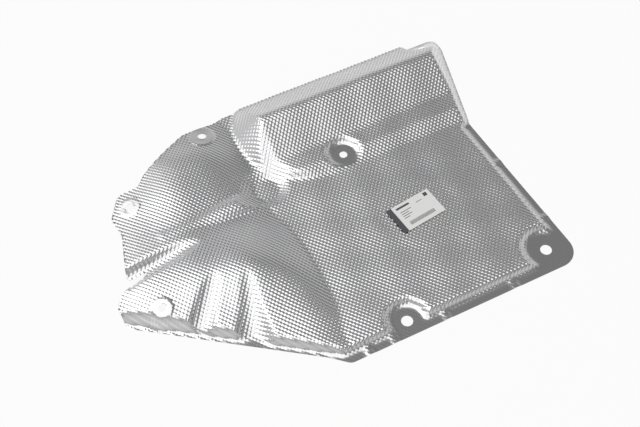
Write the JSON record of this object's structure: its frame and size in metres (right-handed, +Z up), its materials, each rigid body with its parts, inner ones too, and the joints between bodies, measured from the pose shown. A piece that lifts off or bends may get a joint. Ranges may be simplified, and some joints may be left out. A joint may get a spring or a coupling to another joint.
{
  "type": "engine bay insulation pad",
  "caption": "Pressed, embossed aluminium heat shield with a ridge, drawn lobes, a flat flange, fixing holes and a paper label.",
  "frame": {"origin": "centre of the bounding box, on the surface that the flange lies on", "axes": "+X along the straight bottom edge, towards the flange corner; +Y towards the ridge; +Z up"},
  "size_m": [0.618, 0.441, 0.046],
  "materials": {
    "aluminium_sheet": "bright embossed foil",
    "label_paper": "matt paper"
  },
  "bodies": {
    "root": {"heat_shield": "aluminium_sheet", "label": "label_paper"}
  },
  "joints": []
}
